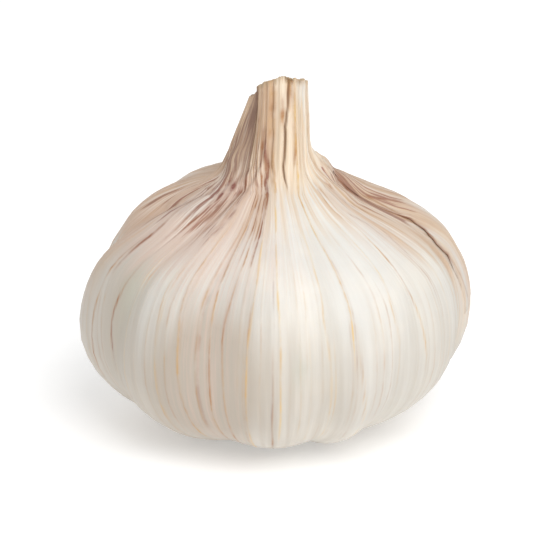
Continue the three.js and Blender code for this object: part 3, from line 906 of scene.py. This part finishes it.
def skin_group():
    """The colour of dry skin: white over the cloves and straw on the neck, with pale brown, olive
    grey, tan and pink places, brown streaks and veins. The pale brown, the olive grey and the dark
    brown also carry painted shade low down, on the sides, in the furrows and in the gaps, and the
    pale streaks are partly painted highlights. Also the fine threads, for a bump."""
    tree = bpy.data.node_groups.new("dry skin", "ShaderNodeTree")
    tree.interface.new_socket("Colour", in_out="OUTPUT", socket_type="NodeSocketColor")
    tree.interface.new_socket("Threads", in_out="OUTPUT", socket_type="NodeSocketFloat")
    uv = add_node(tree, "ShaderNodeUVMap").outputs[0]
    threads = fibres(tree, uv, THREADS)
    ribs = fibres(tree, uv, RIBS)
    straw = ragged(tree, painted(tree, "straw"), ribs, 2.6)
    brown_bands = stretch(tree, fibres(tree, uv, BROWN_BANDS), 0.38, 0.66, 0, 0.6)
    pale_bands = stretch(tree, fibres(tree, uv, PALE_BANDS), 0.5, 0.7, 0, 0.5)
    stain = painted(tree, "stain")
    # Pale streaks among the stains: partly pale fibres, partly painted highlights.
    pale_and_highlight_streaks = stretch(tree, fibres(tree, uv, PALE_AND_HIGHLIGHT_STREAKS), 0.48, 0.62, 0, 0.75)
    broad = dashes(tree, uv, stain, BROAD_DASHES)
    thin = dashes(tree, uv, stain, THIN_DASHES)
    drift = stretch(tree, fibres(tree, uv, HUE_DRIFT), 0.4, 0.6)
    streak_hue = mix_colour(tree, drift, STREAK_BROWN, STREAK_PURPLE)
    breaks = stretch(tree, fibres(tree, uv, VEIN_BREAKS), 0.36, 0.6, 0.3, 1.25)
    breaks = calculate(tree, "MAXIMUM", breaks, painted(tree, "straw"))
    vein_hue = vein_colour(tree, painted(tree, "vein_hue"))

    mottled = stretch(tree, mottling(tree, 110, 4), 0.35, 0.7)
    colour = mix_colour(tree, mottled, SKIN_COOL, SKIN_WHITE)
    for amount, layer in (
        # Pale brown tint, with painted shade low down and on the sides.
        (ragged(tree, painted(tree, "beige_and_shade"), ribs, 0.6), SKIN_BEIGE_AND_SHADE),
        (stretch(tree, threads, 0.55, 0.8, 0, 0.12), SKIN_STRAW),
        # Olive grey tint, painted shade in the furrow on the left.
        (share(tree, ragged(tree, painted(tree, "green_and_shade"), ribs, 1.5), 0.5), SKIN_GREEN_AND_SHADE),
        # Painted shade in the furrows.
        (share(tree, painted(tree, "furrow"), 0.35), PAINTED_FURROW_SHADE),
        (straw, SKIN_STRAW),
        (calculate(tree, "MULTIPLY", straw, brown_bands), STRAW_BROWN),
        (calculate(tree, "MULTIPLY", straw, pale_bands), STRAW_PALE),
        (ragged(tree, painted(tree, "tan"), ribs, 1.5), SKIN_TAN),
        (share(tree, ragged(tree, painted(tree, "blush"), threads, 1.5), 0.7), SKIN_BLUSH),
        # Pale streaks, partly painted highlights.
        (calculate(tree, "MULTIPLY", stain, pale_and_highlight_streaks), STREAK_PALE_AND_HIGHLIGHT),
        (calculate(tree, "MAXIMUM", broad, thin), streak_hue),
        (calculate(tree, "MULTIPLY", painted(tree, "vein"), breaks, clamp=True), vein_hue),
        # Painted shade in the gaps and the collar's crack.
        (painted(tree, "gap"), PAINTED_GAP_SHADE),
    ):
        colour = mix_colour(tree, amount, colour, layer)
    add_node(tree, "NodeGroupOutput", {"Colour": colour, "Threads": threads})
    return tree


DRY_SKIN = skin_group()


def paper_material(name, roughness, thread_depth, mask, own_colour):
    """A material of dry skin, with the piece's own colour where its mask is."""
    material, tree, shader = new_material(
        name, Roughness=roughness, Specular_IOR_Level=0.4, Subsurface_Weight=0.12,
        Subsurface_Radius=(1.0, 0.75, 0.55), Subsurface_Scale=1.2 * MM)
    skin = add_node(tree, "ShaderNodeGroup", node_tree=DRY_SKIN).outputs
    ribs = fibres(tree, add_node(tree, "ShaderNodeUVMap").outputs[0], EDGE_RIBS)
    own = ragged(tree, painted(tree, mask), ribs, 2.0)
    colour = mix_colour(tree, own, skin["Colour"], own_colour)
    relief = {"Height": skin["Threads"], "Strength": 0.25, "Distance": thread_depth * MM}
    bump = add_node(tree, "ShaderNodeBump", relief)
    tree.links.new(colour, shader.inputs["Base Color"])
    tree.links.new(bump.outputs[0], shader.inputs["Normal"])
    return material


papery_skin = paper_material(
    "papery skin", roughness=0.5, thread_depth=0.2, mask="cut", own_colour=CUT_BROWN)
finish_piece("bulb_skin", head_shape(), papery_skin, replaced="head")

# ------------------------------------------------------------------------------
# The left sheath: the base of an outer leaf, dried to thin paper. It has come away from the left
# and the back of the neck, was cut lower than the neck, and runs out over the shoulder in strips
# that lie on the skin.
SHEATH_FRONT = -40
SHEATH_BACK = -162
SHEATH_THICKNESS = 0.14
SHEATH_GAP = 0.05
SHEATH_LOW = 2.68
SHEATH_HIGH = 4.82
SHEATH_SLOPE = 0.33

# Where the sheath leaves the shoulder and flares up: (radius, height) points of its curve, from the
# distance where it starts to where it ends. Above that it narrows evenly.
FLARE = np.array([(12.5, 38.3), (10.0, 39.1), (8.85, 40.8), (8.2, 42.6)])
FLARE_START = 2.9
FLARE_END = 3.5
SHEATH_COLUMNS = 330
SHEATH_ROWS = 70
STRIP_LENGTHS = 997

# The sheath's darker brown, partly painted shade at its top and where it turns in beside the neck.
SHEATH_BROWN_AND_SHADE = (0.235, 0.14, 0.10, 1)
SHEATH_STAIN = [(0.6, -56, 22, (3.0, 3.4, 4.3, 5))]
SHEATH_DARK_AND_SHADE = [(0.45, -48, 14, (3.0, 3.4, *TO_CUT))]


def torn(fibre, width, seed):
    """A torn end, from 0 to 1: strips of a width in degrees, each with its own length and a
    tapered tip."""
    place = fibre / width + 0.8 * smooth_noise(fibre, 90, seed)
    strip = np.floor(place).astype(int)
    inside = 2 * (place - strip) - 1
    lengths = np.random.default_rng(seed).uniform(0, 1, STRIP_LENGTHS) ** 1.6
    return np.clip(0.8 * lengths[strip % STRIP_LENGTHS] + 0.2 * inside * inside, 0, 1)


def sheet_grid(columns, rows):
    """Shares from 0 to 1 across a sheet and along it."""
    return np.meshgrid(np.linspace(0, 1, columns + 1), np.linspace(0, 1, rows + 1))


def thin_sheet(points, outwards, thickness, fibre, s, masks):
    """A closed sheet on points[row, column]. Its other side is outwards from them by thickness."""
    shape = bmesh.new()
    steps = dict(zip(("out_x", "out_y", "out_z"), np.moveaxis(outwards, -1, 0)))
    roll_up(shape, points, fibre, s, {**masks, **steps})
    layers = [shape.verts.layers.float[name] for name in steps]
    grown = bmesh.ops.extrude_face_region(shape, geom=shape.faces[:], use_keep_orig=True)["geom"]
    for vert in grown:
        if isinstance(vert, bmesh.types.BMVert):
            vert.co += thickness * Vector([vert[layer] for layer in layers])
    bmesh.ops.recalc_face_normals(shape, faces=shape.faces)
    for name in steps:
        shape.verts.layers.float.remove(shape.verts.layers.float[name])
    return shape


def flare_offset(s):
    """How far the sheath stands out from the outline and up from it."""
    radius, height, _, _ = outline(s)
    t = np.clip((s - FLARE_START) / (FLARE_END - FLARE_START), 0, 1)[..., None]
    place = curve(FLARE, t)
    end_radius, end_height = FLARE[-1]
    above = end_radius - SHEATH_SLOPE * (height - end_height)
    out = np.where(s < FLARE_END, place[..., 0], above) - radius
    up = np.where(s < FLARE_END, place[..., 1] - height, 0)
    return np.where(s > FLARE_START, out, 0), np.where(s > FLARE_START, up, 0)


def sheath_shape():
    """The sheath, as a thin sheet that is loose at its top and lies down on the shoulder."""
    across, along = sheet_grid(SHEATH_COLUMNS, SHEATH_ROWS)
    fibre = SHEATH_BACK + (SHEATH_FRONT - SHEATH_BACK) * across
    low = SHEATH_LOW + 0.2 * torn(fibre, 4.5, 41)
    high = SHEATH_HIGH + 0.2 * ramp(across, 0.8, 1) - 0.9 * ramp(across, 0.3, 0)
    high -= 0.04 * torn(fibre, 7, 43)
    s = low + (high - low) * along
    azimuth = fibre_azimuth(fibre, s)
    lift = SHEATH_GAP - 0.16 * ramp(along, 0.06, 0) + skin_lift(fibre, s)
    points = skin_points(azimuth, s, lift)
    outwards = skin_points(azimuth, s, lift + 1) - points
    crumple(points)
    out, up = flare_offset(s)
    loose = ramp(across, 0, 0.3) * ramp(across, 1, 0.82) * ramp(along, 0, 0.12)
    wavy = 1 + 0.07 * wave(fibre, 21, 30) * ramp(s, 3.1, 3.8)
    turned = np.radians(azimuth)
    flare = np.stack([out * wavy * np.sin(turned), -out * wavy * np.cos(turned), up], -1)
    points += loose[..., None] * flare
    masks = skin_masks(azimuth, fibre, s)
    # The painted shade of the gaps lies on the skin below, so the sheath carries none.
    masks["gap"] *= 0  # The gaps between layers are in the skin below.
    masks["stain"] = np.maximum(masks["stain"], local_changes(SHEATH_STAIN, fibre, s))
    # Darker brown up the sheath and where it turns in beside the neck: partly its colour, partly
    # painted shade.
    masks["dark"] = 0.35 * ramp(s, 3.1, 3.6) + local_changes(SHEATH_DARK_AND_SHADE, fibre, s)
    outwards *= (0.3 + 0.7 * ramp(s, 2.8, 3.2))[..., None]
    return thin_sheet(points, outwards, SHEATH_THICKNESS, fibre, s, masks)


# Its own colour is the darker brown, partly painted shade.
leaf_sheath = paper_material(
    "dry leaf sheath", roughness=0.62, thread_depth=0.3, mask="dark", own_colour=SHEATH_BROWN_AND_SHADE)
finish_piece("left_leaf_sheath", sheath_shape(), leaf_sheath,
             replaced="left_sheath")

# ------------------------------------------------------------------------------
# The right collar: what is left of the outermost skin on the right shoulder. It is thin tan paper
# that lies on the skin below, with a torn edge towards the front that shows a dark crack under it.
COLLAR_FRONT = 88
COLLAR_BACK = 196
COLLAR_THICKNESS = 0.13
COLLAR_GAP = 0.06
COLLAR_LOW = 2.3
COLLAR_HIGH = 3.55
COLLAR_COLUMNS = 330
COLLAR_ROWS = 80

# How many degrees of smooth_noise the torn front edge takes for a distance of one.
TEAR_TURN = 60


def collar_shape():
    """The collar, as a thin sheet whose front edge lifts a little and whose lower edge is torn."""
    across, along = sheet_grid(COLLAR_COLUMNS, COLLAR_ROWS)
    rough = COLLAR_FRONT + (COLLAR_BACK - COLLAR_FRONT) * across
    low = COLLAR_LOW - 0.2 * wave(rough, 2, 190) - 0.1 * ramp(across, 0.3, 0)
    low += 0.28 * torn(rough, 4.5, 51) * ramp(across, 0, 0.25)
    high = COLLAR_HIGH + 0.06 * wave(rough, 10, 40) - 0.16 * torn(rough, 6, 53)
    s = low + (high - low) * along
    tear = s * TEAR_TURN
    front = path_fibre(COLLAR_EDGE, s) + 0.9 * smooth_noise(tear, 75, 55)
    front += 0.4 * smooth_noise(tear, 190, 56)
    fibre = front + (COLLAR_BACK - front) * across
    azimuth = fibre_azimuth(fibre, s)
    fullness = 1 - 0.85 * ramp(across, 0.08, 0) * ramp(s, 2.6, 2.72)
    fullness *= 0.15 + 0.85 * ramp(s, 2.15, 2.4)
    lifted = 0.05 * ramp(across, 0.05, 0) * band(s, 2.15, 2.4, 2.5, 2.7)
    lifted += 0.2 * ramp(across, 0, 0.1) * band(s, 2.25, 2.4, 3.2, 3.5)
    lift = COLLAR_GAP * fullness + lifted + skin_lift(fibre, s)
    points = skin_points(azimuth, s, lift)
    outwards = (skin_points(azimuth, s, lift + 1) - points) * fullness[..., None]
    crumple(points)
    masks = skin_masks(azimuth, fibre, s)
    # The painted shade of the gaps and the crack lies on the skin below, so the collar carries none.
    masks["gap"] *= 0
    # The front edge is painted dark brown: partly the torn edge's own colour, partly painted shade
    # of the crack under it.
    masks["edge"] = 0.8 * ramp(across, 0.014, 0) * band(s, 2.15, 2.35, 2.6, 2.75)
    return thin_sheet(points, outwards, COLLAR_THICKNESS, fibre, s, masks)


# Its own colour is the dark brown front edge, partly painted shade of the crack.
outermost_skin = paper_material(
    "outermost skin", roughness=0.52, thread_depth=0.2, mask="edge", own_colour=STREAK_BROWN)
finish_piece("right_skin_collar", collar_shape(), outermost_skin,
             replaced="right_collar")

# ------------------------------------------------------------------------------
# The studio: a plain white floor that glows a little, a large soft light from the upper right, an
# even white sky and a long lens. The floor and the light are in metres, and the camera's aim and
# distance in millimetres.
FLOOR_HALF = 1.6
FLOOR_GLOW = 0.28
FLOOR_WHITE = (0.9, 0.9, 0.9, 1)
KEY_PLACE = Vector((0.3, -0.62, 0.75))
KEY_AIM = Vector((0, 0, 0.02))
KEY_SIZE = 0.7
KEY_POWER = 6.4
SKY_WHITE = (1, 1, 1, 1)
SKY_STRENGTH = 0.66
LENS = 267.8
SENSOR = 36
DISTANCE = 620
ELEVATION = 20
AIM = Vector((-0.9, 0, 24.7))


def floor():
    """The surface that the bulb stands on."""
    shape = bmesh.new()
    bmesh.ops.create_grid(shape, x_segments=1, y_segments=1, size=FLOOR_HALF)
    mesh = bpy.data.meshes.new("floor")
    shape.to_mesh(mesh)
    shape.free()
    material, _, _ = new_material(
        "studio white", Base_Color=FLOOR_WHITE, Roughness=0.9, Emission_Color=FLOOR_WHITE,
        Emission_Strength=FLOOR_GLOW)
    mesh.materials.append(material)
    plane = bpy.data.objects.new("floor", mesh)
    bpy.context.collection.objects.link(plane)


def add_looking(name, data, place, direction):
    """A light or camera at a place, turned to look in a direction."""
    placed = bpy.data.objects.new(name, data)
    placed.location = place
    placed.rotation_euler = direction.to_track_quat("-Z", "Y").to_euler()
    bpy.context.collection.objects.link(placed)
    return placed


floor()
key = bpy.data.lights.new("key", "AREA")
key.size = KEY_SIZE
key.energy = KEY_POWER
add_looking("key", key, KEY_PLACE, KEY_AIM - KEY_PLACE)

world = bpy.data.worlds.new("studio")
world.use_nodes = True
sky = world.node_tree.nodes["Background"].inputs
sky["Color"].default_value = SKY_WHITE
sky["Strength"].default_value = SKY_STRENGTH
bpy.context.scene.world = world
bpy.context.scene.view_settings.view_transform = "Standard"

camera_data = bpy.data.cameras.new("camera")
camera_data.lens = LENS
camera_data.sensor_width = SENSOR
tilt = math.radians(ELEVATION)
away = Vector((0, -math.cos(tilt), math.sin(tilt))) * DISTANCE
camera = add_looking("camera", camera_data, (AIM + away) * MM, -away)
bpy.context.scene.camera = camera
